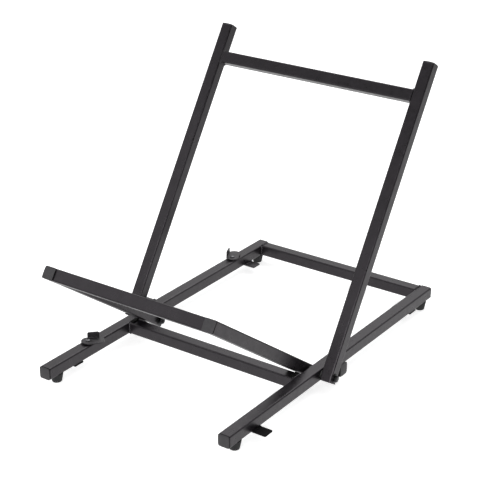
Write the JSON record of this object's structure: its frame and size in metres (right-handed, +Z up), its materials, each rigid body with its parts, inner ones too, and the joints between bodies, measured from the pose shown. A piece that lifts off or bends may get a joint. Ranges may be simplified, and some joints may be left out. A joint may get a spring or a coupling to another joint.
{
  "type": "folding amp stand",
  "caption": "Folding tilt-back floor stand for a guitar amplifier: square black steel tube, hinged back and tray frames, rubber feet and swivel lock clips.",
  "frame": {"origin": "on the floor, in the middle of the footprint's width and depth", "axes": "+Z up, +Y towards the back that leans away, +X to the right of someone facing the stand"},
  "size_m": [0.4188, 0.616, 0.4667],
  "materials": {
    "frame_paint": "satin",
    "strip_paint": "satin",
    "clip_paint": "satin",
    "cap_plastic": "matte",
    "rubber": "matte",
    "black_steel": "satin",
    "zinc_steel": "bright",
    "nylon": "matte"
  },
  "bodies": {
    "base": {"left_rail": "frame_paint", "right_rail": "frame_paint", "front_crossbar": "frame_paint", "rear_crossbar": "frame_paint", "left_stop_stub": "frame_paint", "right_stop_stub": "frame_paint", "left_front_strip": "strip_paint", "right_front_strip": "strip_paint", "left_rear_strip": "strip_paint", "right_rear_strip": "strip_paint", "left_tray_pad": "rubber", "right_tray_pad": "rubber", "left_back_pad": "rubber", "right_back_pad": "rubber", "front_left_rail_cap": "cap_plastic", "front_right_rail_cap": "cap_plastic", "rear_left_rail_cap": "cap_plastic", "rear_right_rail_cap": "cap_plastic", "left_stub_cap": "cap_plastic", "right_stub_cap": "cap_plastic", "front_left_foot": "rubber", "front_right_foot": "rubber", "rear_left_foot": "rubber", "rear_right_foot": "rubber", "foot_washers": "zinc_steel", "foot_screws": "zinc_steel", "left_pivot_bolt": "black_steel", "right_pivot_bolt": "black_steel", "pivot_nuts": "black_steel", "pivot_washers": "black_steel", "outer_spacers": "nylon", "inner_spacers": "nylon", "clip_rivet_nuts": "zinc_steel", "clip_washers": "nylon", "clip_screws": "zinc_steel"},
    "back": {"left_upright": "frame_paint", "right_upright": "frame_paint", "back_crossbar": "frame_paint", "left_upright_cap": "cap_plastic", "right_upright_cap": "cap_plastic"},
    "tray": {"left_tray_arm": "frame_paint", "right_tray_arm": "frame_paint", "tray_front_bar": "frame_paint", "left_arm_cap": "cap_plastic", "right_arm_cap": "cap_plastic"},
    "front_clip_body": {"front_clip": "clip_paint"},
    "rear_clip_body": {"rear_clip": "clip_paint"}
  },
  "joints": [
    {"name": "back_fold", "type": "hinge", "parent": "base", "child": "back", "pos_m": [0, -0.05058, 0.025], "axis": [1, 0, 0], "range_deg": [0, 122.6]},
    {"name": "tray_fold", "type": "hinge", "parent": "base", "child": "tray", "pos_m": [0, -0.05058, 0.025], "axis": [1, 0, 0], "range_deg": [-144.3, 0]},
    {"name": "front_clip_swivel", "type": "hinge", "parent": "base", "child": "front_clip_body", "pos_m": [-0.1715, -0.19548, 0.0375], "axis": [0, 0, 1], "range_deg": [-136, 134]},
    {"name": "rear_clip_swivel", "type": "hinge", "parent": "base", "child": "rear_clip_body", "pos_m": [-0.1715, 0.20502, 0.0375], "axis": [0, 0, 1], "range_deg": [-112, 60]}
  ]
}
